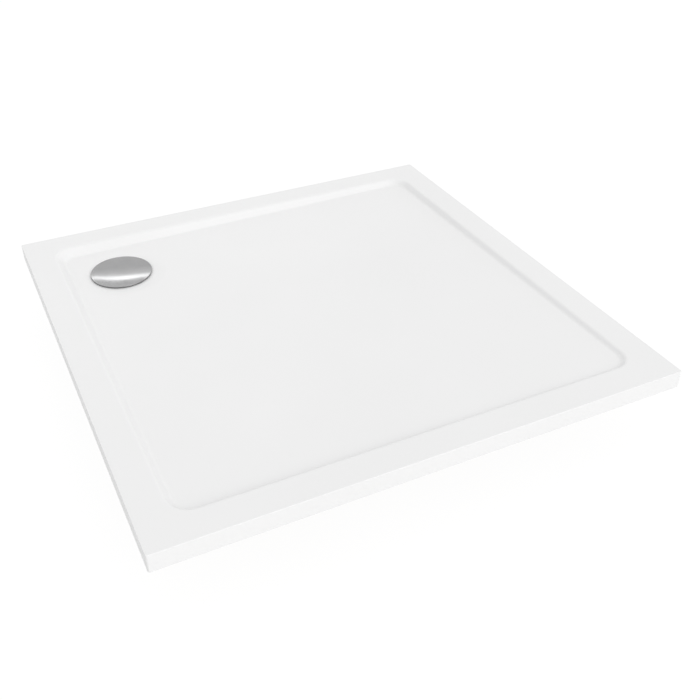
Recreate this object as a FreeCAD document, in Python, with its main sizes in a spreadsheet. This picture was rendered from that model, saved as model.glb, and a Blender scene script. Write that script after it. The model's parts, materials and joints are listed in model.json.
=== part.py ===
import FreeCAD, Part
import math
import os

import Sketcher

# Square low-profile shower tray on five screw feet, with a corner waste and odour trap.
# Millimetres. Origin on the floor under the tray's centre, +Z up, front = -Y, left = -X.

os.makedirs("parts", exist_ok=True)
doc = FreeCAD.newDocument("shower_tray")
V = FreeCAD.Vector

# ---------------------------------------------------------------- driving dimensions
SIZES = [
    # tray
    ("tray_side", 900, "outer side of the square tray"),
    ("tray_height", 32, "rim top to skirt bottom"),
    ("tray_lift", 107, "floor to skirt bottom"),
    ("corner_r", 3, "upright outer corner radius"),
    ("rim_edge_r", 1, "rounding of the outer top edge"),
    ("rim_width", 53, "flat rim"),
    ("well_corner_r", 36, "well corner radius at the rim"),
    ("wall_angle", 40, "well wall away from upright, degrees"),
    ("well_edge_r", 7.5, "rounding between rim and well wall"),
    ("cove_r", 7, "cove between wall and floor"),
    ("floor_depth", 16, "floor below the rim at the waste, before the dish"),
    ("floor_fall", 0.01, "fall along the diagonal, mm per mm"),
    ("well_reach", 20, "depth to which the wall cone is drawn"),
    ("skin_t", 4, "acrylic thickness"),
    ("drain_inset_x", 160, "waste axis from the left side"),
    ("drain_inset_y", 165, "waste axis from the back side"),
    ("dish_in_r", 60, "inner radius of the dish round the waste"),
    ("dish_out_r", 88, "outer radius of the dish"),
    ("dish_drop", 1.5, "waste seat below the floor plane"),
    ("dish_rise", 2.5, "rise of the dish cone, seat to outer radius"),
    ("recess_r", 57, "recess for the flange"),
    ("recess_depth", 3, "depth of that recess"),
    ("hole_r", 45, "waste hole in the skin"),
    ("boss_r", 70, "thickened ring under the waste"),
    ("boss_t", 5, "thickness of the skin under the flange"),
    # board and core
    ("board_t", 8, "base board thickness"),
    ("board_recess", 1, "board above the skirt edge"),
    ("board_gap", 2, "board to skirt, each side"),
    ("cutout_r", 95, "waste cut-out in board and core"),
    # waste
    ("upper_seal_t", 1, "gasket under the flange"),
    ("upper_seal_in", 46.5, "its inner radius"),
    ("lower_seal_t", 2, "gasket under the skin"),
    ("flange_r", 56, "outer radius of the clamping flange"),
    ("flange_t", 2, "flange sheet"),
    ("flange_step_out", 44, "where the flange starts to dip"),
    ("flange_step_in", 40, "where the dip ends"),
    ("flange_dip", 4, "depth of the dip"),
    ("collar_out", 30.5, "collar outside radius"),
    ("collar_in", 28.8, "collar bore above the ledge"),
    ("collar_low", 26.3, "collar bore below the ledge"),
    ("collar_ledge", 8.5, "ledge below the dip"),
    ("collar_len", 12.5, "collar end below the dip"),
    ("screw_circle", 35.5, "radius of the flange screw circle"),
    ("screw_head_r", 3.9, "countersunk head radius"),
    ("screw_head_h", 2.2, "countersunk head height"),
    ("screw_r", 1.9, "screw core radius"),
    ("screw_len", 29.5, "length of a flange screw"),
    # trap
    ("trap_flange_r", 59, "trap flange radius"),
    ("trap_flange_t", 4, "trap flange thickness"),
    ("bowl_r", 52, "bowl outside radius"),
    ("bowl_t", 3, "bowl wall"),
    ("bowl_foot", 10, "bowl bottom above the floor"),
    ("bowl_cut", 6, "bevel round the bowl's bottom"),
    ("boss_screw_r", 4.5, "screw boss radius"),
    ("boss_len", 28, "screw boss length"),
    ("web_w", 6, "web between boss and bowl"),
    ("outlet_z", 72, "outlet axis above the floor"),
    ("outlet_x", 74, "ball centre from the waste axis"),
    ("cup_r", 31, "outlet cup outside radius"),
    ("cup_end", 2, "cup end beyond the ball centre"),
    ("stub_bore", 19, "bore from bowl to cup"),
    ("ball_r", 26, "radius of the outlet ball"),
    ("ball_gap", 0.4, "clearance round the ball"),
    ("pipe_r", 20, "outlet pipe outside radius"),
    ("pipe_t", 2, "outlet pipe wall"),
    ("pipe_end", 66, "pipe end from the ball centre"),
    ("ball_back", 16.5, "ball cut off behind its centre"),
    ("oseal_w", 3, "outlet seal width"),
    ("oseal_gap", 0.12, "seal bore over the ball"),
    ("nut_r", 34.5, "union nut radius between ribs"),
    ("nut_back", 14, "union nut behind the ball centre"),
    ("nut_front", 16, "union nut beyond the ball centre"),
    ("nut_lip", 12, "where the nut's lip starts to open"),
    ("nut_mouth", 26, "mouth radius of the nut"),
    ("nut_rib", 1.5, "height of the grip ribs"),
    ("nut_rib_w", 5, "width of a grip rib"),
    # insert
    ("insert_gap", 0.2, "insert above its ledge"),
    ("lip_r", 28.4, "insert lip radius"),
    ("lip_t", 2, "insert lip thickness"),
    ("tube_top_r", 25.5, "insert outside radius at the seal"),
    ("tube_top_len", 11, "length of that part"),
    ("tube_r", 22.5, "dip tube radius"),
    ("tube_t", 2, "dip tube wall"),
    ("tube_foot", 24, "dip tube end above the floor"),
    ("ring_r", 1, "O-ring section radius"),
    ("ring_gap", 0.06, "O-ring to collar"),
    ("ring_drop", 2.5, "O-ring centre below the lip"),
    ("hub_r", 6.5, "hub radius"),
    ("hub_bore", 3.6, "hub bore"),
    ("hub_len", 13, "hub length"),
    ("hub_rise", 3, "hub top above the lip's underside"),
    ("spoke_w", 3, "spoke width"),
    ("spoke_h", 8, "spoke height"),
    ("grid_t", 2, "hair grid thickness"),
    ("slot_w", 3.2, "width of a grid slot"),
    # cover
    ("cover_r", 59, "cover radius"),
    ("cover_gap", 1.5, "cover edge above the floor"),
    ("cover_edge", 2, "height of the edge"),
    ("cover_edge_r", 1.2, "rounding at the edge"),
    ("cover_dome", 4.5, "dome above the edge"),
    ("cover_t", 1.6, "dome thickness"),
    ("carrier_r", 50, "carrier plate radius"),
    ("carrier_t", 1.5, "carrier plate thickness"),
    ("stem_r", 3.4, "stem radius"),
    ("stem_len", 11, "stem below its shoulder"),
    ("shoulder_r", 9, "shoulder radius"),
    ("shoulder_gap", 0.2, "shoulder above the hub"),
    ("carrier_rib_w", 2, "rib width"),
    ("carrier_rib_gap", 0.8, "ribs above the flange"),
    # feet
    ("foot_inset", 140, "foot axis from the tray's sides"),
    ("foot_corner_inset", 65, "the same beside the waste"),
    ("foot_back_inset", 90, "the same in the other back corner, clear of the waste pipe"),
    ("plate_side", 56, "socket plate"),
    ("plate_t", 4, "socket plate thickness"),
    ("plate_r", 7, "plate corner radius"),
    ("socket_r", 13, "socket boss radius"),
    ("socket_len", 28, "socket boss below the plate"),
    ("gusset_w", 3, "gusset width"),
    ("gusset_out", 25, "gusset reach"),
    ("gusset_h", 18, "gusset height"),
    ("thread_r", 6, "spindle thread radius"),
    ("thread_gap", 0.08, "thread clearance"),
    ("spindle_top", 97, "spindle top above the floor"),
    ("lock_nut_h", 10, "lock nut height"),
    ("lock_nut_af", 19, "lock nut across flats"),
    ("hex_af", 17, "spanner hexagon across flats"),
    ("hex_h", 9.7, "spanner hexagon height"),
    ("pad_r", 28, "pad radius"),
    ("pad_t", 5, "pad thickness at the edge"),
    ("pad_bevel", 1.5, "bevel on the pad"),
    ("hub_pad_r", 11, "pad hub radius"),
    ("hub_pad_top", 18, "pad hub top above the floor"),
    ("pad_bore_z", 3, "bottom of the pad's bore"),
    ("neck_r", 5, "spindle end radius"),
    ("neck_gap", 0.3, "play of the snap-in end"),
    ("snap_z", 10, "snap lip above the floor"),
    ("snap_h", 2, "snap lip height"),
    ("snap_depth", 0.9, "depth of the snap groove"),
    ("wood_screw_at", 21, "socket screws from the foot axis"),
    ("wood_screw_r", 2, "wood screw radius"),
    ("wood_screw_head", 3.9, "wood screw head radius"),
    ("wood_screw_head_h", 2, "wood screw head height"),
    ("wood_screw_bite", 7, "wood screw in the board"),
]

sheet = doc.addObject("Spreadsheet::Sheet", "Dims")
sheet.set("A1", "alias")
sheet.set("B1", "value")
sheet.set("C1", "meaning")
for row, (alias, number, meaning) in enumerate(SIZES, start=2):
    sheet.set("A%d" % row, alias)
    sheet.set("B%d" % row, repr(number))
    sheet.set("C%d" % row, meaning)
    sheet.setAlias("B%d" % row, alias)
doc.recompute()


class Q:
    """A size with the expression that drives it."""

    def __init__(self, value, text):
        self.value = float(value)
        self.text = text

    def __add__(self, other):
        o = quantity(other)
        return Q(self.value + o.value, "(%s + %s)" % (self.text, o.text))

    def __sub__(self, other):
        o = quantity(other)
        return Q(self.value - o.value, "(%s - %s)" % (self.text, o.text))

    def __mul__(self, other):
        o = quantity(other)
        return Q(self.value * o.value, "(%s * %s)" % (self.text, o.text))

    def __truediv__(self, other):
        o = quantity(other)
        return Q(self.value / o.value, "(%s / %s)" % (self.text, o.text))

    def __neg__(self):
        return Q(-self.value, "(0 - %s)" % self.text)

    def root(self):
        return Q(math.sqrt(self.value), "sqrt(%s)" % self.text)

    def sine(self):
        return Q(math.sin(math.radians(self.value)), "sin(%s)" % self.text)

    def cosine(self):
        return Q(math.cos(math.radians(self.value)), "cos(%s)" % self.text)

    def at_most(self, other):
        o = quantity(other)
        return Q(min(self.value, o.value), "min(%s; %s)" % (self.text, o.text))


def quantity(x):
    if isinstance(x, Q):
        return x
    return Q(x, repr(x))


class Named:
    pass


d = Named()
for alias, number, meaning in SIZES:
    setattr(d, alias, Q(sheet.get(alias), "Dims." + alias))

# ---------------------------------------------------------------- derived levels
rim_z = d.tray_lift + d.tray_height
half = d.tray_side / 2
well_half = half - d.rim_width
drain_x = d.drain_inset_x - half
drain_y = half - d.drain_inset_y
plane_z = rim_z - d.floor_depth
# the well is shallowest in its front right corner, where both roundings have to find room
shallow = d.floor_depth - d.floor_fall * (well_half * 2 - drain_x + drain_y) / quantity(2).root()
round_room = shallow * 0.45 / (quantity(1) - d.wall_angle.sine())
edge_r = d.well_edge_r.at_most(round_room)
cove_r = d.cove_r.at_most(round_room)
seat_z = plane_z - d.dish_drop
ledge_z = seat_z - d.recess_depth
boss_z = ledge_z - d.boss_t
board_z = d.tray_lift + d.board_recess
board_top = board_z + d.board_t
trap_top = boss_z - d.lower_seal_t
flange_z = ledge_z + d.upper_seal_t
dip_z = flange_z + d.flange_t - d.flange_dip
collar_ledge_z = dip_z - d.collar_ledge
lip_z = collar_ledge_z + d.insert_gap
hub_top = lip_z + d.hub_rise
cover_z = seat_z + d.cover_gap
cover_top = cover_z + d.cover_edge + d.cover_dome
socket_end = board_z - d.plate_t - d.socket_len
foot_at = half - d.foot_inset
corner_at = half - d.foot_corner_inset
back_at = half - d.foot_back_inset
FEET = [
    ("front_left", -foot_at, -foot_at),
    ("front_right", foot_at, -foot_at),
    ("back_right", back_at, back_at),
    ("back_left", -corner_at, corner_at),
    ("centre", None, None),
]


# ---------------------------------------------------------------- modelling helpers
def bind(obj, prop, q):
    obj.setExpression(prop, q.text)


def body(label, x=None, y=None):
    b = doc.addObject("PartDesign::Body", label)
    b.Label = label
    if x is not None:
        b.Placement = FreeCAD.Placement(V(x.value, y.value, 0), FreeCAD.Rotation())
        bind(b, "Placement.Base.x", x)
        bind(b, "Placement.Base.y", y)
    return b


def origin_part(b, role):
    for feature in b.Origin.OriginFeatures:
        if feature.Role == role:
            return feature
    raise RuntimeError("no " + role)


def sketch(b, plane, lift=None, turn=0):
    """A sketch on one of the body's own planes, moved along its normal by lift."""
    s = b.newObject("Sketcher::SketchObject", b.Name + "_sketch")
    s.AttachmentSupport = [(origin_part(b, plane), "")]
    s.MapMode = "FlatFace"
    base = V(0, 0, lift.value if lift is not None else 0)
    s.AttachmentOffset = FreeCAD.Placement(base, FreeCAD.Rotation(V(0, 1, 0), turn))
    if lift is not None:
        bind(s, "AttachmentOffset.Base.z", lift)
    return s


def pin(s, geo, pos, x, y):
    """Fixes one sketch point at (x, y)."""
    for axis, q in (("DistanceX", x), ("DistanceY", y)):
        if q is None:
            s.addConstraint(Sketcher.Constraint("PointOnObject", geo, pos, -2 if axis == "DistanceX" else -1))
            continue
        i = s.addConstraint(Sketcher.Constraint(axis, -1, 1, geo, pos, q.value))
        s.setExpression("Constraints[%d]" % i, q.text)


def num(q):
    return 0.0 if q is None else q.value


def arc_middle(p, q, radius):
    """A point halfway along the arc from p to q; a negative radius bulges right."""
    chord = q - p
    side = V(-chord.y, chord.x, 0)
    side.normalize()
    r = abs(radius)
    sag = r - math.sqrt(max(r * r - chord.Length ** 2 / 4, 0))
    if radius < 0:
        sag = -sag
    return (p + q) * 0.5 + side * sag


def outline(s, points):
    """A closed outline. A point is (x, y) or (x, y, radius of the arc to the next)."""
    count = len(points)
    base = s.GeometryCount
    starts = []
    for k, point in enumerate(points):
        after = points[(k + 1) % count]
        p = V(num(point[0]), num(point[1]), 0)
        q = V(num(after[0]), num(after[1]), 0)
        if len(point) == 3:
            # arcs are drawn anticlockwise, so one that bulges left runs from q to p
            backwards = point[2].value > 0
            ends = (q, p) if backwards else (p, q)
            s.addGeometry(Part.Arc(ends[0], arc_middle(p, q, point[2].value), ends[1]), False)
            starts.append(2 if backwards else 1)
        else:
            s.addGeometry(Part.LineSegment(p, q), False)
            starts.append(1)
    for k, point in enumerate(points):
        nxt = (k + 1) % count
        s.addConstraint(Sketcher.Constraint("Coincident", base + k, 3 - starts[k], base + nxt, starts[nxt]))
    for k, point in enumerate(points):
        pin(s, base + k, starts[k], point[0], point[1])
        if len(point) == 3:
            r = point[2]
            i = s.addConstraint(Sketcher.Constraint("Radius", base + k, abs(r.value)))
            s.setExpression("Constraints[%d]" % i, r.text if r.value > 0 else "abs(%s)" % r.text)
    return s


def disc(s, radius, x=None, y=None):
    g = s.addGeometry(Part.Circle(V(num(x), num(y), 0), V(0, 0, 1), radius.value), False)
    pin(s, g, 3, x, y)
    i = s.addConstraint(Sketcher.Constraint("Radius", g, radius.value))
    s.setExpression("Constraints[%d]" % i, radius.text)
    return s


def rounded_square(s, h, r):
    """A square of half side h about the origin with corner radius r."""
    a = h.value
    e = r.value
    base = s.GeometryCount
    for x0, y0, x1, y1 in ((-a + e, -a, a - e, -a), (a, -a + e, a, a - e), (a - e, a, -a + e, a),
                           (-a, a - e, -a, -a + e)):
        s.addGeometry(Part.LineSegment(V(x0, y0, 0), V(x1, y1, 0)), False)
    for cx, cy, start in ((a - e, -a + e, 270), (a - e, a - e, 0), (-a + e, a - e, 90), (-a + e, -a + e, 180)):
        circle = Part.Circle(V(cx, cy, 0), V(0, 0, 1), e)
        s.addGeometry(Part.ArcOfCircle(circle, math.radians(start), math.radians(start + 90)), False)
    for k in range(4):
        s.addConstraint(Sketcher.Constraint("Tangent", base + k, 2, base + 4 + k, 1))
        s.addConstraint(Sketcher.Constraint("Tangent", base + 4 + k, 2, base + (k + 1) % 4, 1))
        s.addConstraint(Sketcher.Constraint("Horizontal" if k % 2 == 0 else "Vertical", base + k))
    i = s.addConstraint(Sketcher.Constraint("Radius", base + 4, e))
    s.setExpression("Constraints[%d]" % i, r.text)
    for k in range(5, 8):
        s.addConstraint(Sketcher.Constraint("Equal", base + 4, base + k))
    for k, axis, q in ((0, "DistanceY", -h), (1, "DistanceX", h), (2, "DistanceY", h), (3, "DistanceX", -h)):
        i = s.addConstraint(Sketcher.Constraint(axis, -1, 1, base + k, 1, q.value))
        s.setExpression("Constraints[%d]" % i, q.text)
    return s


def hexagon(s, across):
    """A hexagon with flats square to the sketch's vertical axis."""
    half_flat = across / 2
    reach = across / quantity(3).root()
    near = reach / 2
    outline(s, [(reach, None), (near, half_flat), (-near, half_flat), (-reach, None), (-near, -half_flat),
                (near, -half_flat)])
    return s


def feature(b, kind, s, **props):
    f = b.newObject("PartDesign::" + kind, b.Name + "_" + kind.lower())
    f.Profile = s
    s.Visibility = False
    for key, value in props.items():
        if isinstance(value, Q):
            setattr(f, key, value.value)
            bind(f, key, value)
        else:
            setattr(f, key, value)
    b.Tip = f
    doc.recompute()
    return f


def both_sides(f, length):
    f.SideType = "Symmetric"
    f.Length = length.value
    bind(f, "Length", length)
    doc.recompute()
    return f


def turned(b, points, plane="XZ_Plane", axis="V_Axis", cut=False, lift=None):
    """Revolves an outline fully about one of its sketch axes."""
    before = b.Shape.Volume if cut else 0
    s = outline(sketch(b, plane, lift), points)
    f = feature(b, "Groove" if cut else "Revolution", s, ReferenceAxis=(s, [axis]), Angle=360)
    if cut and abs(before - b.Shape.Volume) < 1e-3:
        raise RuntimeError(b.Label + ": groove cut nothing")
    return f


def pocket(b, s, length, reverse=False, symmetric=False):
    before = b.Shape.Volume
    f = feature(b, "Pocket", s, Length=length, Reversed=reverse)
    if symmetric:
        both_sides(f, length)
    if abs(before - b.Shape.Volume) < 1e-3:
        raise RuntimeError(b.Label + ": pocket cut nothing")
    return f


def around(b, features, count):
    """Repeats features round the body's upright axis."""
    f = b.newObject("PartDesign::PolarPattern", b.Name + "_pattern")
    f.Originals = features
    f.Axis = (origin_part(b, "Z_Axis"), [""])
    f.Angle = 360
    f.Occurrences = count
    b.Tip = f
    doc.recompute()
    return f


def chosen(shape, test):
    return ["Edge%d" % (k + 1) for k, e in enumerate(shape.Edges) if test(e)]


def level_at(e, z, tol=0.02):
    box = e.BoundBox
    return abs(box.ZMin - z) < tol and abs(box.ZMax - z) < tol


def dress(b, kind, base, edges, radius, prop="Radius"):
    f = b.newObject("PartDesign::" + kind, b.Name + "_" + kind.lower())
    f.Base = (base, edges)
    setattr(f, prop, radius.value)
    bind(f, prop, radius)
    b.Tip = f
    doc.recompute()
    return f


def joined(kind, label, base, tools):
    f = doc.addObject(kind, label)
    f.Label = label
    if kind == "Part::Cut":
        f.Base = base
        f.Tool = tools[0]
    else:
        f.Shapes = [base] + tools
    doc.recompute()
    return f


parts = []


def keep(node, obj):
    obj.Label = node
    parts.append((node, obj))


# ---------------------------------------------------------------- tray
def tub(label, grow, drop, cove):
    """The well as a solid: tapered walls, floor falling to the waste corner, coved foot.

    grow widens it, drop lowers its floor; both are nought for the open well itself.
    """
    b = body(label)
    s = rounded_square(sketch(b, "XY_Plane", rim_z), well_half + grow, d.well_corner_r + grow)
    reach = d.well_reach + drop
    feature(b, "Pad", s, Length=reach, Reversed=True, TaperAngle=-d.wall_angle)
    # the fall runs along the diagonal from the front right corner to the waste corner
    slope = sketch(b, "XZ_Plane", None, -45)
    along = (drain_x - drain_y) / quantity(2).root()
    wide = d.tray_side
    level = plane_z - drop
    low = level - d.floor_fall * (wide + along)
    high = level + d.floor_fall * (wide - along)
    under = rim_z - d.tray_height * 2
    outline(slope, [(-wide, low), (wide, high), (wide, under), (-wide, under)])
    f = pocket(b, slope, d.tray_side * 2, symmetric=True)
    foot = []
    for k, e in enumerate(b.Shape.Edges):
        top = plane_z.value - drop.value + d.floor_fall.value * 1200
        if e.BoundBox.ZMax < top and e.BoundBox.ZMax < rim_z.value - 2:
            foot.append("Edge%d" % (k + 1))
    dress(b, "Fillet", f, foot, cove)
    return b


nothing = quantity(0)
well = tub("well_solid", nothing, nothing, cove_r)
reach_z = boss_z - d.boss_t
well_waste = [
    (None, reach_z), (d.hole_r, reach_z), (d.hole_r, ledge_z), (d.recess_r, ledge_z), (d.recess_r, seat_z),
    (d.dish_in_r, seat_z), (d.dish_out_r, seat_z + d.dish_rise), (d.dish_out_r, seat_z + d.dish_rise + 1),
    (None, seat_z + d.dish_rise + 1)]


def waste_void(label):
    b = body(label, drain_x, drain_y)
    turned(b, well_waste)
    return b


hollow = joined("Part::MultiFuse", "well_hollow", well, [waste_void("waste_void")])
outer_tub = tub("tub_solid", d.skin_t / d.wall_angle.cosine(), d.skin_t, cove_r + d.skin_t)
waste_boss = body("waste_boss", drain_x, drain_y)
turned(waste_boss, [(None, boss_z), (d.boss_r, boss_z), (d.dish_out_r, plane_z - d.skin_t),
                    (d.dish_out_r, plane_z - d.skin_t + 1), (None, plane_z - d.skin_t + 1)])
tub_all = joined("Part::MultiFuse", "tub_all", outer_tub, [waste_boss])

block = body("rim_block")
s = rounded_square(sketch(block, "XY_Plane", d.tray_lift), half, d.corner_r)
pad = feature(block, "Pad", s, Length=d.tray_height)
dress(block, "Fillet", pad, chosen(pad.Shape, lambda e: level_at(e, rim_z.value)), d.rim_edge_r)
s = rounded_square(sketch(block, "XY_Plane", d.tray_lift), half - d.skin_t, d.corner_r / 2)
pocket(block, s, d.tray_height - d.skin_t, reverse=True)

raw_shell = joined("Part::MultiFuse", "shell_raw", block, [tub_all])
open_shell = joined("Part::Cut", "shell_open", raw_shell, [hollow])
inner_edges = []
for k, e in enumerate(open_shell.Shape.Edges):
    box = e.BoundBox
    inside = max(abs(box.XMin), abs(box.XMax), abs(box.YMin), abs(box.YMax)) < well_half.value + 0.5
    if level_at(e, rim_z.value) and inside:
        inner_edges.append((k + 1, edge_r.value, edge_r.value))
shell = doc.addObject("Part::Fillet", "tray_shell")
shell.Base = open_shell
shell.Edges = inner_edges
doc.recompute()
keep("tray_shell", shell)

core_block = body("core_block")
s = rounded_square(sketch(core_block, "XY_Plane", board_top), half - d.skin_t, d.corner_r / 2)
feature(core_block, "Pad", s, Length=rim_z - d.skin_t - board_top)
s = disc(sketch(core_block, "XY_Plane", board_top), d.cutout_r, drain_x, drain_y)
pocket(core_block, s, d.tray_height, reverse=True)
keep("tray_core", joined("Part::Cut", "tray_core", core_block, [tub_all]))

board = body("base_board")
s = rounded_square(sketch(board, "XY_Plane", board_z), half - d.skin_t - d.board_gap, d.corner_r)
feature(board, "Pad", s, Length=d.board_t)
s = disc(sketch(board, "XY_Plane", board_z), d.cutout_r, drain_x, drain_y)
pocket(board, s, d.board_t, reverse=True)
pilots = sketch(board, "XY_Plane", board_z)
spots = []
for name, fx, fy in FEET:
    for sx in (1, -1):
        for sy in (1, -1):
            x = d.wood_screw_at * sx if fx is None else fx + d.wood_screw_at * sx
            y = d.wood_screw_at * sy if fy is None else fy + d.wood_screw_at * sy
            spots.append((x, y))
for x, y in spots:
    disc(pilots, d.wood_screw_r, x, y)
pocket(board, pilots, d.wood_screw_bite, reverse=True)
keep("base_board", board)

# ---------------------------------------------------------------- feet
screws = body("socket_screws")
head_z = board_z - d.plate_t - d.wood_screw_head_h
heads = sketch(screws, "XY_Plane", head_z)
for x, y in spots:
    disc(heads, d.wood_screw_head, x, y)
feature(screws, "Pad", heads, Length=d.wood_screw_head_h)
shanks = sketch(screws, "XY_Plane", head_z)
for x, y in spots:
    disc(shanks, d.wood_screw_r, x, y)
feature(screws, "Pad", shanks, Length=d.wood_screw_head_h + d.plate_t + d.wood_screw_bite)
keep("socket_screws", screws)


def foot_socket(node, x, y):
    b = body(node, x, y)
    plate_z = board_z - d.plate_t
    s = rounded_square(sketch(b, "XY_Plane", plate_z), d.plate_side / 2, d.plate_r)
    feature(b, "Pad", s, Length=d.plate_t)
    bore = d.thread_r + d.thread_gap
    turned(b, [(bore, socket_end), (d.socket_r - 1, socket_end), (d.socket_r, socket_end + 1),
               (d.socket_r + 1, plate_z), (bore, plate_z)])
    rib = outline(sketch(b, "XZ_Plane"), [
        (d.socket_r - 0.5, plate_z), (d.gusset_out, plate_z), (d.gusset_out, plate_z - 2),
        (d.socket_r - 0.5, plate_z - d.gusset_h)])
    gusset = feature(b, "Pad", rib, Length=d.gusset_w)
    both_sides(gusset, d.gusset_w)
    around(b, [gusset], 4)
    holes = sketch(b, "XY_Plane", plate_z)
    for sx in (1, -1):
        for sy in (1, -1):
            disc(holes, d.wood_screw_r, d.wood_screw_at * sx, d.wood_screw_at * sy)
    disc(holes, bore)
    pocket(b, holes, d.plate_t, reverse=True)
    keep(node, b)


def lock_nut(node, x, y):
    b = body(node, x, y)
    low = socket_end - d.lock_nut_h
    feature(b, "Pad", hexagon(sketch(b, "XY_Plane", low), d.lock_nut_af), Length=d.lock_nut_h)
    pocket(b, disc(sketch(b, "XY_Plane", low), d.thread_r + d.thread_gap), d.lock_nut_h, reverse=True)
    corner = d.lock_nut_af / quantity(3).root() + 1
    flat = d.lock_nut_af / 2 - 0.2
    drop = (corner - flat) * 0.577
    turned(b, [(corner, low), (flat, low), (corner, low + drop)], cut=True)
    turned(b, [(corner, socket_end), (flat, socket_end), (corner, socket_end - drop)], cut=True)
    keep(node, b)


def spindle(node, x, y):
    b = body(node, x, y)
    foot = d.pad_bore_z + d.neck_gap
    groove_r = d.neck_r - d.snap_depth
    groove_low = d.snap_z - d.neck_gap
    groove_top = d.snap_z + d.snap_h + d.neck_gap
    hex_z = d.hub_pad_top + d.neck_gap
    turned(b, [
        (None, foot), (d.neck_r - 0.6, foot), (d.neck_r, foot + 0.6), (d.neck_r, groove_low),
        (groove_r, groove_low), (groove_r, groove_top), (d.neck_r, groove_top), (d.neck_r, hex_z),
        (d.thread_r, hex_z), (d.thread_r, d.spindle_top - 1), (d.thread_r - 1, d.spindle_top),
        (None, d.spindle_top)])
    feature(b, "Pad", hexagon(sketch(b, "XY_Plane", hex_z), d.hex_af), Length=d.hex_h)
    corner = d.hex_af / quantity(3).root() + 1
    flat = d.hex_af / 2 - 0.2
    drop = (corner - flat) * 0.577
    turned(b, [(corner, hex_z + d.hex_h), (flat, hex_z + d.hex_h), (corner, hex_z + d.hex_h - drop)], cut=True)
    turned(b, [(corner, hex_z), (flat, hex_z), (corner, hex_z + drop)], cut=True)
    keep(node, b)


def floor_pad(node, x, y):
    b = body(node, x, y)
    bore = d.neck_r + d.neck_gap
    lip = d.neck_r - d.snap_depth + d.neck_gap
    turned(b, [
        (None, None), (d.pad_r, None), (d.pad_r, d.pad_t - d.pad_bevel), (d.pad_r - d.pad_bevel, d.pad_t),
        (d.hub_pad_r + 4, d.pad_t), (d.hub_pad_r, d.pad_t + 4), (d.hub_pad_r, d.hub_pad_top),
        (bore, d.hub_pad_top), (bore, d.snap_z + d.snap_h), (lip, d.snap_z + d.snap_h), (lip, d.snap_z),
        (bore, d.snap_z), (bore, d.pad_bore_z), (None, d.pad_bore_z)])
    rib = outline(sketch(b, "XZ_Plane"), [
        (d.hub_pad_r - 0.5, d.pad_t - 0.5), (d.pad_r - 3, d.pad_t - 0.5), (d.pad_r - 3, d.pad_t + 1),
        (d.hub_pad_r - 0.5, d.hub_pad_top - 3)])
    web = feature(b, "Pad", rib, Length=d.gusset_w)
    both_sides(web, d.gusset_w)
    around(b, [web], 6)
    keep(node, b)


for name, fx, fy in FEET:
    foot_socket("foot_%s_socket" % name, fx, fy)
    lock_nut("foot_%s_nut" % name, fx, fy)
    spindle("foot_%s_spindle" % name, fx, fy)
    floor_pad("foot_%s_pad" % name, fx, fy)


# ---------------------------------------------------------------- waste fitting
def ring(node, inner, outer, low, high):
    b = body(node, drain_x, drain_y)
    turned(b, [(inner, low), (outer, low), (outer, high), (inner, high)])
    keep(node, b)


ring("upper_seal", d.upper_seal_in, d.flange_r, ledge_z, flange_z)
ring("lower_seal", d.upper_seal_in, d.trap_flange_r, trap_top, boss_z)

flange = body("waste_flange", drain_x, drain_y)
flange_top = flange_z + d.flange_t
turned(flange, [
    (d.flange_r, flange_z), (d.flange_r, flange_top), (d.flange_step_out, flange_top),
    (d.flange_step_in, dip_z), (d.collar_in, dip_z), (d.collar_in, collar_ledge_z),
    (d.collar_low, collar_ledge_z), (d.collar_low, dip_z - d.collar_len),
    (d.collar_out, dip_z - d.collar_len), (d.collar_out, dip_z - d.flange_t),
    (d.flange_step_in - 0.8, dip_z - d.flange_t), (d.flange_step_out - 0.8, flange_z)])


def side_axis(s, at=None, level=None):
    """A construction line in the sketch: upright at x = at, or level at z = level."""
    ends = ((at, None), (at, quantity(30))) if level is None else ((None, level), (quantity(30), level))
    g = s.addGeometry(Part.LineSegment(V(num(ends[0][0]), num(ends[0][1]), 0),
                                       V(num(ends[1][0]), num(ends[1][1]), 0)), True)
    pin(s, g, 1, ends[0][0], ends[0][1])
    pin(s, g, 2, ends[1][0], ends[1][1])
    return s


def about(b, points, at=None, level=None, cut=False):
    """Revolves an outline about an axis of its own in the XZ plane."""
    before = b.Shape.Volume if cut else 0
    s = side_axis(outline(sketch(b, "XZ_Plane"), points), at, level)
    f = feature(b, "Groove" if cut else "Revolution", s, ReferenceAxis=(s, ["Axis0"]), Angle=360)
    if cut and abs(before - b.Shape.Volume) < 1e-3:
        raise RuntimeError(b.Label + ": groove cut nothing")
    return f


screw_low = dip_z - d.screw_len
head_low = dip_z - d.screw_head_h
sunk = about(flange, [
    (d.screw_circle, head_low), (d.screw_circle + d.screw_r, head_low),
    (d.screw_circle + d.screw_head_r, dip_z), (d.screw_circle, dip_z)], at=d.screw_circle, cut=True)
around(flange, [sunk], 4)
keep("waste_flange", flange)

fixing = body("flange_screws", drain_x, drain_y)
one = about(fixing, [
    (d.screw_circle, screw_low), (d.screw_circle + d.screw_r - 0.6, screw_low),
    (d.screw_circle + d.screw_r, screw_low + 0.6), (d.screw_circle + d.screw_r, head_low),
    (d.screw_circle + d.screw_head_r, dip_z), (d.screw_circle, dip_z)], at=d.screw_circle)
around(fixing, [one], 4)
keep("flange_screws", fixing)

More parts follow.
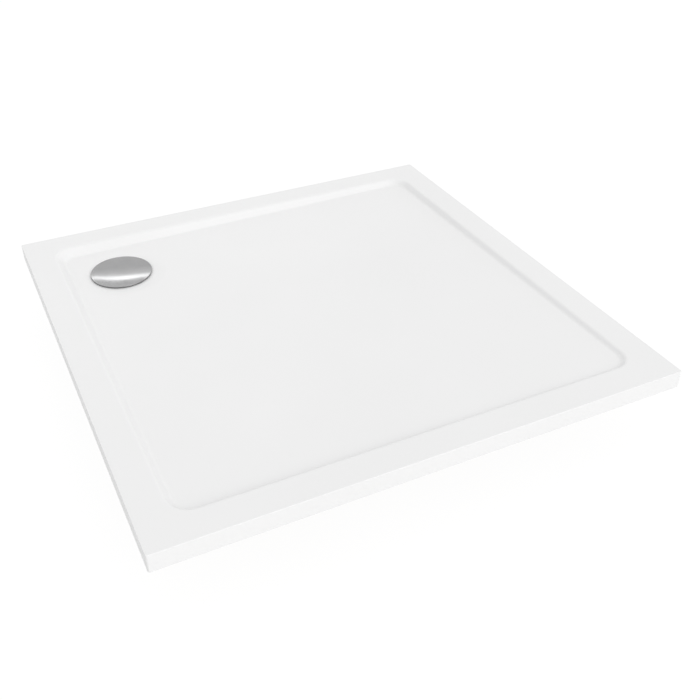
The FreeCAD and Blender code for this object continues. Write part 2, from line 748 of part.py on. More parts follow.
trap = body("trap_body", drain_x, drain_y)
turned(trap, [
    (None, d.bowl_foot), (d.bowl_r - d.bowl_cut, d.bowl_foot), (d.bowl_r, d.bowl_foot + d.bowl_cut),
    (d.bowl_r, trap_top - d.trap_flange_t), (d.trap_flange_r, trap_top - d.trap_flange_t),
    (d.trap_flange_r, trap_top), (None, trap_top)])
about(trap, [
    (d.bowl_r - 14, d.outlet_z), (d.outlet_x + d.cup_end, d.outlet_z),
    (d.outlet_x + d.cup_end, d.outlet_z + d.cup_r), (d.bowl_r + 4, d.outlet_z + d.cup_r),
    (d.bowl_r - 2, d.outlet_z + d.cup_r - 5), (d.bowl_r - 14, d.outlet_z + d.cup_r - 5)], level=d.outlet_z)
inner = d.bowl_r - d.bowl_t
turned(trap, [
    (None, d.bowl_foot + d.bowl_t), (inner - d.bowl_cut + 1.2, d.bowl_foot + d.bowl_t),
    (inner, d.bowl_foot + d.bowl_cut + 1.2), (inner, trap_top), (None, trap_top)], cut=True)
ball_in = d.ball_r + d.ball_gap
behind = (ball_in * ball_in - d.stub_bore * d.stub_bore).root()
rim_r = (ball_in * ball_in - d.cup_end * d.cup_end).root()
about(trap, [
    (d.bowl_r - 16, d.outlet_z), (d.outlet_x + d.cup_end, d.outlet_z),
    (d.outlet_x + d.cup_end, d.outlet_z + rim_r, -ball_in),
    (d.outlet_x - behind, d.outlet_z + d.stub_bore), (d.bowl_r - 16, d.outlet_z + d.stub_bore)],
    level=d.outlet_z, cut=True)
s = disc(sketch(trap, "XY_Plane", trap_top), d.boss_screw_r, d.screw_circle, None)
post = feature(trap, "Pad", s, Length=d.boss_len, Reversed=True)
web = outline(sketch(trap, "XY_Plane", trap_top), [
    (d.screw_circle + 2, d.web_w / 2), (d.screw_circle + 2, -d.web_w / 2), (inner + 1, -d.web_w / 2),
    (inner + 1, d.web_w / 2)])
arm = feature(trap, "Pad", web, Length=d.boss_len, Reversed=True)
around(trap, [post, arm], 4)
s = disc(sketch(trap, "XY_Plane", trap_top), d.screw_r, d.screw_circle, None)
thread_hole = pocket(trap, s, trap_top - screw_low)
around(trap, [thread_hole], 4)
keep("trap_body", trap)

nut = body("outlet_nut", drain_x, drain_y)
nut_start = d.outlet_x - d.nut_back
seal_start = d.outlet_x + d.cup_end
seal_end = seal_start + d.oseal_w
nut_end = d.outlet_x + d.nut_front
seal_off = d.cup_end + d.oseal_w
about(nut, [
    (nut_start, d.outlet_z + d.cup_r), (seal_end, d.outlet_z + d.cup_r),
    (seal_end, d.outlet_z + (ball_in * ball_in - seal_off * seal_off).root(), ball_in),
    (d.outlet_x + d.nut_lip, d.outlet_z + (ball_in * ball_in - d.nut_lip * d.nut_lip).root()),
    (nut_end, d.outlet_z + d.nut_mouth), (nut_end, d.outlet_z + d.nut_r - 1.5),
    (nut_end - 1.5, d.outlet_z + d.nut_r), (nut_start + 1, d.outlet_z + d.nut_r),
    (nut_start, d.outlet_z + d.nut_r - 1)], level=d.outlet_z)
grip = side_axis(outline(sketch(nut, "XZ_Plane"), [
    (nut_start + 1.5, d.outlet_z + d.nut_r - 1), (nut_end - 2.5, d.outlet_z + d.nut_r - 1),
    (nut_end - 2.5, d.outlet_z + d.nut_r), (nut_end - 4, d.outlet_z + d.nut_r + d.nut_rib),
    (nut_start + 1.5, d.outlet_z + d.nut_r + d.nut_rib)]), level=d.outlet_z)
rib = both_sides(feature(nut, "Pad", grip, Length=d.nut_rib_w), d.nut_rib_w)
ribs = around(nut, [rib], 12)
ribs.Axis = (grip, ["Axis0"])
doc.recompute()
keep("outlet_nut", nut)

oseal = body("outlet_seal", drain_x, drain_y)
about(oseal, [
    (seal_start, d.outlet_z + d.ball_r + d.oseal_gap), (seal_end, d.outlet_z + d.ball_r + d.oseal_gap),
    (seal_end, d.outlet_z + d.cup_r), (seal_start, d.outlet_z + d.cup_r)], level=d.outlet_z)
keep("outlet_seal", oseal)

spigot = body("outlet_spigot", drain_x, drain_y)
ball_start = d.outlet_x - d.ball_back
pipe_start = d.outlet_x + (d.ball_r * d.ball_r - d.pipe_r * d.pipe_r).root()
pipe_stop = d.outlet_x + d.pipe_end
pipe_in = d.pipe_r - d.pipe_t
about(spigot, [
    (ball_start, d.outlet_z + pipe_in),
    (ball_start, d.outlet_z + (d.ball_r * d.ball_r - d.ball_back * d.ball_back).root(), d.ball_r),
    (pipe_start, d.outlet_z + d.pipe_r), (pipe_stop - 1.5, d.outlet_z + d.pipe_r),
    (pipe_stop, d.outlet_z + d.pipe_r - 1), (pipe_stop, d.outlet_z + pipe_in)], level=d.outlet_z)
keep("outlet_spigot", spigot)

# ---------------------------------------------------------------- lift-out insert
insert = body("odour_insert", drain_x, drain_y)
ring_z = lip_z - d.ring_drop
ring_at = d.collar_low - d.ring_gap - d.ring_r
groove_r = ring_at - d.ring_r
throat = d.tube_r - d.tube_t
mouth = d.tube_r
neck_z = lip_z - d.tube_top_len
turned(insert, [
    (throat, d.tube_foot), (d.tube_r, d.tube_foot), (d.tube_r, neck_z), (d.tube_top_r, neck_z + 2),
    (d.tube_top_r, ring_z - d.ring_r), (groove_r, ring_z - d.ring_r), (groove_r, ring_z + d.ring_r),
    (d.tube_top_r, ring_z + d.ring_r), (d.tube_top_r, lip_z), (d.lip_r, lip_z),
    (d.lip_r, lip_z + d.lip_t), (mouth, lip_z + d.lip_t), (mouth, neck_z + 2), (throat, neck_z)])
hub_low = hub_top - d.hub_len
turned(insert, [(d.hub_r - 1, hub_low), (mouth + 0.5, hub_low), (mouth + 0.5, hub_low + d.grid_t),
                (d.hub_r - 1, hub_low + d.grid_t)])
slot = outline(sketch(insert, "XY_Plane", hub_low), [
    (d.hub_r + 2.5, d.slot_w / 2), (d.hub_r + 2.5, -d.slot_w / 2), (throat - 1, -d.slot_w / 2),
    (throat - 1, d.slot_w / 2)])
around(insert, [pocket(insert, slot, d.grid_t, reverse=True)], 12)
turned(insert, [(d.hub_bore, hub_low), (d.hub_r, hub_low), (d.hub_r, hub_top), (d.hub_bore, hub_top)])
arm = outline(sketch(insert, "XY_Plane", hub_low), [
    (d.hub_r - 1, d.spoke_w / 2), (d.hub_r - 1, -d.spoke_w / 2), (mouth + 0.5, -d.spoke_w / 2),
    (mouth + 0.5, d.spoke_w / 2)])
around(insert, [feature(insert, "Pad", arm, Length=d.spoke_h)], 3)
keep("odour_insert", insert)

oring = body("insert_seal", drain_x, drain_y)
s = disc(sketch(oring, "XZ_Plane"), d.ring_r, ring_at, ring_z)
feature(oring, "Revolution", s, ReferenceAxis=(s, ["V_Axis"]), Angle=360)
keep("insert_seal", oring)

# ---------------------------------------------------------------- cover
edge_in = d.cover_r - d.cover_edge_r
dome_r = (edge_in * edge_in + d.cover_dome * d.cover_dome) / (d.cover_dome * 2)
under_top = cover_top - d.cover_t
skirt_in = d.cover_r - d.cover_t
skirt_top = under_top - dome_r + (dome_r * dome_r - skirt_in * skirt_in).root()
edge_top = cover_z + d.cover_edge
cover = body("waste_cover", drain_x, drain_y)
turned(cover, [
    (None, under_top, dome_r), (skirt_in, skirt_top), (skirt_in, cover_z), (d.cover_r, cover_z),
    (d.cover_r, edge_top - d.cover_edge_r, -d.cover_edge_r), (edge_in, edge_top, -dome_r),
    (None, cover_top)])
keep("waste_cover", cover)

carrier = body("cover_carrier", drain_x, drain_y)
rise = under_top - dome_r + (dome_r * dome_r - d.carrier_r * d.carrier_r).root()
plate_low = rise - d.carrier_t
shoulder_z = hub_top + d.shoulder_gap
turned(carrier, [
    (None, shoulder_z - d.stem_len), (d.stem_r - 0.8, shoulder_z - d.stem_len),
    (d.stem_r, shoulder_z - d.stem_len + 1.5), (d.stem_r, shoulder_z), (d.shoulder_r, shoulder_z),
    (d.shoulder_r, plate_low), (d.carrier_r, plate_low), (d.carrier_r, rise, -dome_r), (None, under_top)])
rib_low = flange_top + d.carrier_rib_gap
web = outline(sketch(carrier, "XZ_Plane"), [
    (d.shoulder_r - 1, shoulder_z + 2), (d.tube_r - 2, shoulder_z + 2), (d.tube_r + 6, rib_low),
    (d.carrier_r - 4, rib_low), (d.carrier_r - 4, plate_low + 0.3), (d.shoulder_r - 1, plate_low + 0.3)])
rib = both_sides(feature(carrier, "Pad", web, Length=d.carrier_rib_w), d.carrier_rib_w)
around(carrier, [rib], 6)
keep("cover_carrier", carrier)

# ---------------------------------------------------------------- checks and export
doc.recompute()
for obj in doc.Objects:
    bad = [word for word in obj.State if word in ("Invalid", "Error")]
    if bad:
        raise RuntimeError("%s: %s" % (obj.Label, bad))
for node, obj in parts:
    if obj.Shape.isNull() or not obj.Shape.isValid() or obj.Shape.Volume < 1:
        raise RuntimeError(node + ": no valid shape")
for node, obj in parts:
    obj.Shape.exportStep("parts/%s.step" % node)
print("parts", len(parts))
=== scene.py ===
"""Looks of the square shower tray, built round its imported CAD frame. Metres, row frame."""
import json
import math

import bpy
from mathutils import Matrix, Vector

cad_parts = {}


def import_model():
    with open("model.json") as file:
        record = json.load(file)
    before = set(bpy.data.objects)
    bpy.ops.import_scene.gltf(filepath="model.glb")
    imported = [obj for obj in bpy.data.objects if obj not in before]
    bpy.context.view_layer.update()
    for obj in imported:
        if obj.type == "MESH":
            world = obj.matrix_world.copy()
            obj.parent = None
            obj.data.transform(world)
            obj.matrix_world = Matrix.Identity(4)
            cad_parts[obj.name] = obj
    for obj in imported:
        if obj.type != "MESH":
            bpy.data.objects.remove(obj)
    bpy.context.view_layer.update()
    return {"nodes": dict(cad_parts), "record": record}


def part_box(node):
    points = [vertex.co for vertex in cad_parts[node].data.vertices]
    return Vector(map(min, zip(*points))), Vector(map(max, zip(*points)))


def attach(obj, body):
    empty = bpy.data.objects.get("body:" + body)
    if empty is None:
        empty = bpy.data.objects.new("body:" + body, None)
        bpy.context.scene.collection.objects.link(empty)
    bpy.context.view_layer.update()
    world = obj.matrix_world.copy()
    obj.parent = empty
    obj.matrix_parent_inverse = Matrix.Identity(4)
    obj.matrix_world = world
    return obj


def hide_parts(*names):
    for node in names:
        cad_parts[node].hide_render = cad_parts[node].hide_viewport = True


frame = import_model()
NODES = frame["nodes"]
MM = 0.001
FEET = ("front_left", "front_right", "back_right", "back_left", "centre")


# ---------------------------------------------------------------- node helpers
def new_material(name):
    """An empty node tree with a Principled shader; returns (material, tree, shader)."""
    m = bpy.data.materials.new(name)
    m.use_nodes = True
    t = m.node_tree
    t.nodes.clear()
    out = t.nodes.new("ShaderNodeOutputMaterial")
    bsdf = t.nodes.new("ShaderNodeBsdfPrincipled")
    t.links.new(bsdf.outputs[0], out.inputs["Surface"])
    return m, t, bsdf


def surface(t, shader):
    """Puts shader in the Principled shader's place."""
    out = next(n for n in t.nodes if n.type == "OUTPUT_MATERIAL")
    t.links.new(shader, out.inputs["Surface"])


def place(t, stretch=(1, 1, 1)):
    """Object coordinates in metres, stretched per axis."""
    coord = t.nodes.new("ShaderNodeTexCoord")
    mapping = t.nodes.new("ShaderNodeMapping")
    mapping.inputs["Scale"].default_value = stretch
    t.links.new(coord.outputs["Object"], mapping.inputs["Vector"])
    return mapping.outputs["Vector"]


def noise(t, where, scale, detail, roughness=0.5, distortion=0.0):
    """Cloudy noise from 0 to 1."""
    n = t.nodes.new("ShaderNodeTexNoise")
    n.inputs["Scale"].default_value = scale
    n.inputs["Detail"].default_value = detail
    n.inputs["Roughness"].default_value = roughness
    n.inputs["Distortion"].default_value = distortion
    t.links.new(where, n.inputs["Vector"])
    return n.outputs["Fac"]


def cells(t, where, scale):
    """Irregular flakes; the node's Color differs per flake and its Distance grows from their middles."""
    n = t.nodes.new("ShaderNodeTexVoronoi")
    n.inputs["Scale"].default_value = scale
    t.links.new(where, n.inputs["Vector"])
    return n


def ramp(t, source, *stops):
    """A colour ramp; a stop is (position, (r, g, b)) or (position, grey)."""
    r = t.nodes.new("ShaderNodeValToRGB")
    elements = r.color_ramp.elements
    while len(elements) < len(stops):
        elements.new(0.5)
    for e, (at, value) in zip(elements, stops):
        e.position = at
        rgb = value if isinstance(value, tuple) else (value, value, value)
        e.color = (*rgb, 1)
    t.links.new(source, r.inputs["Fac"])
    return r.outputs["Color"]


def maths(t, operation, first, second):
    """A Math node's result; first is an output, second an output or a number."""
    n = t.nodes.new("ShaderNodeMath")
    n.operation = operation
    t.links.new(first, n.inputs[0])
    if isinstance(second, float):
        n.inputs[1].default_value = second
    else:
        t.links.new(second, n.inputs[1])
    return n.outputs[0]


def times(t, first, second):
    """The product of two colours."""
    n = t.nodes.new("ShaderNodeVectorMath")
    n.operation = "MULTIPLY"
    t.links.new(first, n.inputs[0])
    t.links.new(second, n.inputs[1])
    return n.outputs[0]


def blend(t, factor, first, second):
    """The first shader where factor is 0, the second where it is 1."""
    mix = t.nodes.new("ShaderNodeMixShader")
    t.links.new(factor, mix.inputs[0])
    t.links.new(first, mix.inputs[1])
    t.links.new(second, mix.inputs[2])
    return mix.outputs[0]


def relief(t, bsdf, height, distance, strength=1.0):
    """Fine bumps of at most distance."""
    b = t.nodes.new("ShaderNodeBump")
    b.inputs["Distance"].default_value = distance
    b.inputs["Strength"].default_value = strength
    t.links.new(height, b.inputs["Height"])
    t.links.new(b.outputs["Normal"], bsdf.inputs["Normal"])


def shade(colour, factor):
    """A lighter or darker colour."""
    return tuple(min(1.0, v * factor) for v in colour)


# ---------------------------------------------------------------- materials
def acrylic():
    """Cast white acrylic sheet: almost even, with a faint drawn ripple and a soft satin gloss."""
    m, t, bsdf = new_material("acrylic")
    where = place(t)
    drift = noise(t, where, 3.5, 2)
    t.links.new(ramp(t, drift, (0.3, 0.853), (0.7, 0.868)), bsdf.inputs["Base Color"])
    t.links.new(ramp(t, noise(t, where, 60, 4), (0.3, 0.36), (0.7, 0.44)), bsdf.inputs["Roughness"])
    bsdf.inputs["Specular IOR Level"].default_value = 0.35
    relief(t, bsdf, noise(t, where, 140, 2), 0.02 * MM)
    return m


def laminate():
    """Sprayed resin with chopped glass strands: amber-white, strands crossing at all angles."""
    m, t, bsdf = new_material("laminate")
    along = noise(t, place(t, (1, 9, 4)), 70, 5, 0.6, 1.5)
    across = noise(t, place(t, (9, 1, 4)), 70, 5, 0.6, 1.5)
    strands = maths(t, "MAXIMUM", along, across)
    t.links.new(ramp(t, strands, (0.45, (0.62, 0.57, 0.42)), (0.65, (0.80, 0.77, 0.66))),
                bsdf.inputs["Base Color"])
    t.links.new(ramp(t, strands, (0.45, 0.35), (0.7, 0.6)), bsdf.inputs["Roughness"])
    relief(t, bsdf, strands, 0.6 * MM, 0.7)
    return m


def chipboard():
    """Pressed wood chips: small flakes of differing tone, paler and darker specks."""
    m, t, bsdf = new_material("chipboard")
    where = place(t, (1, 1, 2.5))
    flakes = cells(t, where, 260)
    tone = ramp(t, flakes.outputs["Color"], (0.1, (0.36, 0.24, 0.13)), (0.45, (0.55, 0.39, 0.22)),
                (0.9, (0.70, 0.55, 0.35)))
    dust = ramp(t, noise(t, where, 900, 6, 0.7), (0.35, 0.72), (0.65, 1.0))
    t.links.new(times(t, tone, dust), bsdf.inputs["Base Color"])
    bsdf.inputs["Roughness"].default_value = 0.85
    bsdf.inputs["Specular IOR Level"].default_value = 0.2
    relief(t, bsdf, flakes.outputs["Distance"], 0.3 * MM, 0.6)
    return m


def metal(name, colour, rough, stretch, streaks):
    """Bare or plated metal with fine marks drawn along one direction."""
    m, t, bsdf = new_material(name)
    lines = noise(t, place(t, stretch), streaks, 5, 0.6)
    t.links.new(ramp(t, lines, (0.3, shade(colour, 0.94)), (0.7, shade(colour, 1.04))),
                bsdf.inputs["Base Color"])
    t.links.new(ramp(t, lines, (0.25, rough[0]), (0.75, rough[1])), bsdf.inputs["Roughness"])
    bsdf.inputs["Metallic"].default_value = 1.0
    relief(t, bsdf, lines, 0.01 * MM)
    return m


def moulded(name, colour, spread, rough, grain, depth, specular=0.5):
    """Moulded plastic or rubber: soft colour drift, uneven gloss and a fine grain."""
    m, t, bsdf = new_material(name)
    where = place(t)
    drift = noise(t, where, 18, 3)
    t.links.new(ramp(t, drift, (0.3, shade(colour, 1 - spread)), (0.7, shade(colour, 1 + spread))),
                bsdf.inputs["Base Color"])
    t.links.new(ramp(t, noise(t, where, 54, 5), (0.3, rough[0]), (0.7, rough[1])),
                bsdf.inputs["Roughness"])
    bsdf.inputs["Specular IOR Level"].default_value = specular
    relief(t, bsdf, noise(t, where, grain, 2), depth)
    return m


def chrome():
    """Bright plating: even mirror with a trace of haze, and painted shade that halves its colour where it
    faces sideways or down, round its upright edge and underneath.
    """
    m, t, bsdf = new_material("chrome")
    haze = noise(t, place(t), 40, 4)
    facing = t.nodes.new("ShaderNodeNewGeometry")
    split = t.nodes.new("ShaderNodeSeparateXYZ")
    t.links.new(facing.outputs["Normal"], split.inputs[0])
    plating = ramp(t, haze, (0.3, (0.401, 0.402, 0.404)), (0.7, (0.426, 0.427, 0.429)))
    # painted shade: the plating colour falls to half where the surface faces sideways or down, darkening
    # the upright edge and the underside
    edge = ramp(t, split.outputs["Z"], (0.3, 0.5), (0.96, 1.0))
    t.links.new(times(t, plating, edge), bsdf.inputs["Base Color"])
    t.links.new(ramp(t, haze, (0.3, 0.10), (0.7, 0.13)), bsdf.inputs["Roughness"])
    bsdf.inputs["Metallic"].default_value = 1.0
    return m


MATERIALS = {
    "acrylic": acrylic(),
    "laminate": laminate(),
    "chipboard": chipboard(),
    "zinc_steel": metal("zinc_steel", (0.60, 0.61, 0.62), (0.25, 0.42), (1, 1, 6), 240),
    "black_plastic": moulded("black_plastic", (0.030, 0.030, 0.033), 0.15, (0.42, 0.55), 1400, 0.04 * MM),
    "white_plastic": moulded("white_plastic", (0.74, 0.74, 0.72), 0.02, (0.38, 0.5), 700, 0.03 * MM),
    "grey_plastic": moulded("grey_plastic", (0.30, 0.31, 0.32), 0.05, (0.40, 0.52), 1000, 0.03 * MM),
    "rubber": moulded("rubber", (0.028, 0.028, 0.028), 0.2, (0.75, 0.9), 1600, 0.06 * MM, specular=0.3),
    "stainless": metal("stainless", (0.62, 0.62, 0.61), (0.20, 0.32), (1, 1, 1), 500),
    "chrome": chrome(),
}


# ---------------------------------------------------------------- object and mesh helpers
def add(name, data):
    """A new object that holds data, linked to the scene."""
    obj = bpy.data.objects.new(name, data)
    bpy.context.scene.collection.objects.link(obj)
    return obj


def middle(node):
    """The middle of a node's box."""
    low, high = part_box(node)
    return (low + high) / 2


class Pile:
    """Vertices and faces gathered into one mesh."""

    def __init__(self):
        self.verts = []
        self.faces = []

    def grid(self, rows, cols, point):
        """A closed sleeve of rows by cols points from point(i, j); returns its first vertex."""
        base = len(self.verts)
        for i in range(rows):
            for j in range(cols):
                self.verts.append(point(i, j))
        for i in range(rows - 1):
            for j in range(cols):
                k = (j + 1) % cols
                self.faces.append((base + i * cols + j, base + i * cols + k,
                                   base + (i + 1) * cols + k, base + (i + 1) * cols + j))
        return base

    def lathe(self, profile, turns, centre):
        """Revolves (radius, z) points about an upright axis; radius 0 closes an end."""
        cx, cy = centre
        rings = []
        for r, z in profile:
            start = len(self.verts)
            if r == 0:
                self.verts.append((cx, cy, z))
                rings.append([start])
                continue
            for j in range(turns):
                a = 2 * math.pi * j / turns
                self.verts.append((cx + r * math.cos(a), cy + r * math.sin(a), z))
            rings.append(list(range(start, start + turns)))
        for low, high in zip(rings, rings[1:]):
            for j in range(turns):
                k = (j + 1) % turns
                if len(low) == 1:
                    self.faces.append((low[0], high[k], high[j]))
                elif len(high) == 1:
                    self.faces.append((low[j], low[k], high[0]))
                else:
                    self.faces.append((low[j], low[k], high[k], high[j]))

    def thread(self, root, crest, pitch, low, high, centre, turns=32, steps=6):
        """A right-handed screw thread with flat crests and roots, tapered at both ends."""
        cx, cy = centre
        rows = int((high - low) / pitch * steps) + 1
        flank = 3.7
        crest_width = 1.35

        def point(i, j):
            z = low + (high - low) * i / (rows - 1)
            a = 2 * math.pi * j / turns
            phase = (z / pitch - j / turns) % 1.0
            tooth = min(1.0, max(0.0, crest_width - abs(phase - 0.5) * flank))
            ends = min(1.0, (z - low) / pitch, (high - z) / pitch)
            r = root + (crest - root) * tooth * max(0.0, ends)
            return cx + r * math.cos(a), cy + r * math.sin(a), z

        base = self.grid(rows, turns, point)
        for z, row, flip in ((low, 0, True), (high, rows - 1, False)):
            tip = len(self.verts)
            self.verts.append((cx, cy, z))
            for j in range(turns):
                a = base + row * turns + j
                b = base + row * turns + (j + 1) % turns
                self.faces.append((tip, b, a) if flip else (tip, a, b))

    def piece(self, name, material, body, node, sharp):
        """Makes the mesh a piece on body that takes node's place; edges over sharp degrees stay sharp."""
        mesh = bpy.data.meshes.new(name)
        mesh.from_pydata(self.verts, [], self.faces)
        mesh.validate()
        mesh.update()
        mesh.shade_smooth()
        mesh.set_sharp_from_angle(angle=math.radians(sharp))
        obj = add(name, mesh)
        mesh.materials.append(MATERIALS[material])
        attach(obj, body)
        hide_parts(node)


# ---------------------------------------------------------------- pieces of the tray
def dress_nodes():
    """Each CAD node gets the material of its own slot."""
    for part in frame["record"]["subparts"]:
        obj = NODES[part["node"]]
        obj.data.materials.clear()
        obj.data.materials.append(MATERIALS[part["material_slot"]])


def spindle(foot):
    """A foot's rod with its real thread, spanner hexagon and snap-in end."""
    node = "foot_%s_spindle" % foot
    low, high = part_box(node)
    centre = tuple(middle(node))[:2]
    pad_gap = 0.3 * MM
    neck_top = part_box("foot_%s_pad" % foot)[1].z + pad_gap
    neck_r = 5 * MM
    neck_chamfer = 0.6 * MM
    groove_r = 4.1 * MM
    groove_low = 9.7 * MM
    groove_high = 12.3 * MM
    hex_h = 9.7 * MM
    hex_chamfer = 1 * MM
    hex_r = (high.x - low.x) / 2
    hex_face_r = 0.96 * hex_r * math.sqrt(3) / 2
    hex_top = neck_top + hex_h
    crest = 6 * MM
    root = 5.05 * MM
    pitch = 1.75 * MM
    overlap = 0.5 * MM
    pile = Pile()
    pile.lathe([(0, low.z), (neck_r - neck_chamfer, low.z), (neck_r, low.z + neck_chamfer),
                (neck_r, groove_low), (groove_r, groove_low), (groove_r, groove_high),
                (neck_r, groove_high), (neck_r, neck_top), (0, neck_top)], 32, centre)
    pile.lathe([(0, neck_top), (hex_face_r, neck_top), (hex_r, neck_top + hex_chamfer),
                (hex_r, hex_top - hex_chamfer), (hex_face_r, hex_top), (0, hex_top)], 6, centre)
    pile.thread(root, crest, pitch, hex_top - overlap, high.z, centre)
    pile.piece("spindle_thread_" + foot, "zinc_steel", "spindle_" + foot, node, 30)


def cross_head(pile, centre, radius, low, high, pan):
    """A screw head with a cross recess: a pan head that faces the floor, or a flat one that faces up."""
    rings = 15
    turns = 48
    arm = radius * 0.15
    reach = radius * 0.55
    depth = radius * 0.42
    crown = 0.55

    def point(i, j):
        r = radius * i / (rings - 1)
        a = 2 * math.pi * j / turns
        x = r * math.cos(a)
        y = r * math.sin(a)
        top = high - low
        if pan:
            top *= 1 - crown + crown * math.sqrt(max(0.0, 1 - (r / radius) ** 2))
        if (abs(x) < arm and abs(y) < reach) or (abs(y) < arm and abs(x) < reach):
            top -= depth * (1 - 0.5 * r / reach)
        if pan:
            return centre[0] + x, centre[1] - y, high - top
        return centre[0] + x, centre[1] + y, low + top

    pile.grid(rings, turns, point)


def socket_screws():
    """Pan-head wood screws that hold the foot sockets to the board."""
    low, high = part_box("socket_screws")
    spacing = 42 * MM
    head_r = 3.9 * MM
    head_h = 2 * MM
    head_side = 0.9 * MM
    shank_r = 2 * MM
    root = 1.3 * MM
    pitch = 1.4 * MM
    rim = low.z + head_h
    pile = Pile()
    for foot in FEET:
        mid = middle("foot_%s_socket" % foot)
        for x in (-spacing / 2, spacing / 2):
            for y in (-spacing / 2, spacing / 2):
                centre = (mid.x + x, mid.y + y)
                cross_head(pile, centre, head_r, low.z, rim, pan=True)
                pile.lathe([(head_r, rim - head_side), (head_r, rim), (shank_r, rim)], 48, centre)
                pile.thread(root, shank_r, pitch, rim, high.z, centre, 20, 5)
    pile.piece("wood_screws", "zinc_steel", "tray", "socket_screws", 40)


def flange_screws():
    """Countersunk screws of the clamping flange."""
    low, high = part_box("flange_screws")
    mid = middle("flange_screws")
    screws = 4
    circle_r = 35.5 * MM
    head_r = 3.9 * MM
    head_h = 2.2 * MM
    shank_r = 1.9 * MM
    root = 1.45 * MM
    pitch = 0.8 * MM
    neck = high.z - head_h
    pile = Pile()
    for k in range(screws):
        a = 2 * math.pi * k / screws
        centre = (mid.x + circle_r * math.cos(a), mid.y + circle_r * math.sin(a))
        cross_head(pile, centre, head_r, neck, high.z, pan=False)
        pile.lathe([(head_r, high.z), (shank_r, neck)], 48, centre)
        pile.thread(root, shank_r, pitch, low.z, neck, centre, 20, 5)
    pile.piece("countersunk_screws", "stainless", "tray", "flange_screws", 40)


def waste_cover():
    """The domed chrome disc as one smooth pressing with a rolled edge."""
    low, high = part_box("waste_cover")
    mid = middle("waste_cover")
    radius = (high.x - low.x) / 2
    dome = 4.5 * MM
    sheet = 1.6 * MM
    roll = 1.2 * MM
    lip = 0.3 * MM
    lip_inside = 0.2 * MM
    rings = 30
    roll_steps = 6
    edge = radius - roll
    inside = radius - sheet
    shoulder = high.z - dome - roll
    sphere = (edge ** 2 + dome ** 2) / (2 * dome)

    def arc(r, top):
        return r, top - sphere + math.sqrt(sphere ** 2 - r ** 2)

    profile = [arc(inside * k / rings, high.z - sheet) for k in range(rings + 1)]
    profile += [(inside, low.z + lip_inside), (inside + lip, low.z), (radius - lip, low.z),
                (radius, low.z + lip)]
    for k in range(roll_steps + 1):
        a = math.pi / 2 * k / roll_steps
        profile.append((edge + roll * math.cos(a), shoulder + roll * math.sin(a)))
    profile += [arc(edge * (rings - k) / rings, high.z) for k in range(1, rings + 1)]
    pile = Pile()
    pile.lathe(profile, 144, (mid.x, mid.y))
    pile.piece("chrome_dome", "chrome", "cover", "waste_cover", 60)


# ---------------------------------------------------------------- studio
def seen_directly(t):
    """1 for what the camera, a mirror or a clear piece sees, 0 for light that falls on surfaces."""
    path = t.nodes.new("ShaderNodeLightPath")
    either = maths(t, "MAXIMUM", path.outputs["Is Camera Ray"], path.outputs["Is Glossy Ray"])
    return maths(t, "MAXIMUM", either, path.outputs["Is Transmission Ray"])


def world():
    """A soft dome, a little brighter on the right, that is seen as white."""
    toward_right = (0.098, -0.021, 0)
    brightness = 1.096
    w = bpy.data.worlds.new("studio")
    bpy.context.scene.world = w
    w.use_nodes = True
    t = w.node_tree
    t.nodes.clear()
    out = t.nodes.new("ShaderNodeOutputWorld")
    way = t.nodes.new("ShaderNodeTexCoord")
    lean = t.nodes.new("ShaderNodeVectorMath")
    lean.operation = "DOT_PRODUCT"
    lean.inputs[1].default_value = toward_right
    t.links.new(way.outputs["Generated"], lean.inputs[0])
    lit = t.nodes.new("ShaderNodeBackground")
    t.links.new(maths(t, "ADD", lean.outputs["Value"], brightness), lit.inputs["Strength"])
    white = t.nodes.new("ShaderNodeBackground")
    white.inputs["Color"].default_value = (1, 1, 1, 1)
    t.links.new(blend(t, seen_directly(t), lit.outputs[0], white.outputs[0]), out.inputs["Surface"])


def floor():
    """A pale floor that reads as white and keeps a faint shadow."""
    half = 14.0
    white = 1.06
    white_share = 0.9
    mesh = bpy.data.meshes.new("floor")
    corners = [(-half, -half, 0), (half, -half, 0), (half, half, 0), (-half, half, 0)]
    mesh.from_pydata(corners, [], [(0, 1, 2, 3)])
    obj = add("floor", mesh)
    m, t, bsdf = new_material("floor")
    t.links.new(ramp(t, noise(t, place(t), 2, 2), (0.3, 0.67), (0.7, 0.69)), bsdf.inputs["Base Color"])
    bsdf.inputs["Roughness"].default_value = 0.9
    glow = t.nodes.new("ShaderNodeEmission")
    glow.inputs["Strength"].default_value = white
    share = maths(t, "MULTIPLY", seen_directly(t), white_share)
    surface(t, blend(t, share, bsdf.outputs[0], glow.outputs[0]))
    mesh.materials.append(m)


def key_light():
    """A distant soft lamp in front, on the right."""
    toward_lamp = Vector((0.09, -0.25, 0.18))
    lamp = bpy.data.lights.new("key", "SUN")
    lamp.energy = 0.63
    lamp.angle = math.radians(40)
    obj = add("key", lamp)
    obj.matrix_world = toward_lamp.to_track_quat("Z", "Y").to_matrix().to_4x4()


def low_fill():
    """A long low lamp in front of the tray, which lights the front face and not the well."""
    lamp = bpy.data.lights.new("low_fill", "AREA")
    lamp.shape = "RECTANGLE"
    lamp.size = 1.8
    lamp.size_y = 0.07
    lamp.energy = 1.6
    obj = add("low_fill", lamp)
    obj.matrix_world = Matrix.Translation((0, -1.3, 0.05)) @ Matrix.Rotation(math.radians(90), 4, "X")
    obj.visible_camera = False
    obj.visible_glossy = False


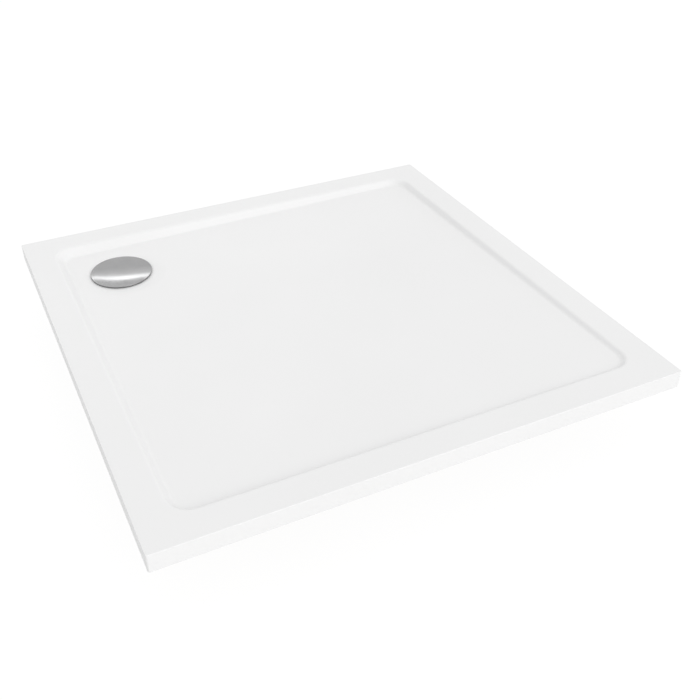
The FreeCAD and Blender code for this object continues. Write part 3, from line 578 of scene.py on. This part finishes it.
def strip_light():
    """A long curved reflector behind the tray that only polished pieces pick up.

    Its bright band follows the course of (azimuth, elevation, share) in degrees, seen from the
    cover. Across it the glow is given at offsets from the course, and share weakens what is over
    the plain level.
    """
    course = ((-14, 19.5, 0.56), (-9, 24.7, 0.62), (-5, 29.4, 0.7), (-2, 33.1, 0.76),
              (2, 37.5, 0.83), (6, 39.8, 0.9), (10, 40.7, 0.93), (14, 40.8, 0.9),
              (18, 39.9, 0.83), (22, 38.5, 0.74), (26, 36.8, 0.66), (34, 33.5, 0.52))
    glow_across = ((-33, 0.81), (-13, 0.85), (-9, 0.98), (-5.5, 1.13), (-3.2, 1.35), (-2.4, 1.7),
                   (-1.9, 2.9), (0, 3.3), (1.5, 3.3), (1.7, 0.94), (7, 0.96))
    plain = 0.9
    distance = 4
    centre = middle("waste_cover")
    verts = []
    glow = []
    for azimuth, elevation, share in course:
        for offset, level in glow_across:
            a = math.radians(azimuth)
            e = math.radians(elevation + offset)
            way = Vector((math.sin(a) * math.cos(e), math.cos(a) * math.cos(e), math.sin(e)))
            verts.append(centre + way * distance)
            glow.append(plain + (level - plain) * share if level > plain else level)
    n = len(glow_across)
    faces = [(i * n + j, i * n + n + j, i * n + n + j + 1, i * n + j + 1)
             for i in range(len(course) - 1) for j in range(n - 1)]
    mesh = bpy.data.meshes.new("strip")
    mesh.from_pydata(verts, [], faces)
    mesh.attributes.new("glow", "FLOAT", "POINT").data.foreach_set("value", glow)
    obj = add("strip", mesh)
    m, t, bsdf = new_material("strip")
    t.nodes.remove(bsdf)
    level = t.nodes.new("ShaderNodeAttribute")
    level.attribute_name = "glow"
    lit = t.nodes.new("ShaderNodeEmission")
    t.links.new(level.outputs["Fac"], lit.inputs["Strength"])
    surface(t, lit.outputs[0])
    mesh.materials.append(m)
    obj.visible_diffuse = False
    obj.visible_shadow = False
    obj.visible_camera = False


def camera():
    """The photograph's view, solved from the rim's four sides and the skirt's lower edge."""
    azimuth = math.radians(-25.7635)
    elevation = math.radians(35.9438)
    distance = 1.620477
    aside = 0.034503
    above = -0.088624
    picture_px = 700
    focal_px = 887.426
    centre_px = 336.092
    rim_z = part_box("tray_shell")[1].z
    back = Vector((math.sin(azimuth) * math.cos(elevation), -math.cos(azimuth) * math.cos(elevation),
                   math.sin(elevation)))
    right = Vector((0, 0, 1)).cross(back).normalized()
    up = back.cross(right)
    at = Vector((0, 0, rim_z)) + back * distance + right * aside + up * above
    data = bpy.data.cameras.new("camera")
    data.sensor_width = 36
    data.lens = focal_px / picture_px * data.sensor_width
    data.shift_x = (picture_px / 2 - centre_px) / picture_px
    data.clip_end = 60
    obj = add("camera", data)
    turn = Matrix((right, up, back)).transposed().to_4x4()
    obj.matrix_world = Matrix.Translation(at) @ turn
    bpy.context.scene.camera = obj


dress_nodes()
for foot in FEET:
    spindle(foot)
socket_screws()
flange_screws()
waste_cover()
world()
floor()
key_light()
low_fill()
strip_light()
camera()
bpy.context.scene.view_settings.view_transform = "Standard"
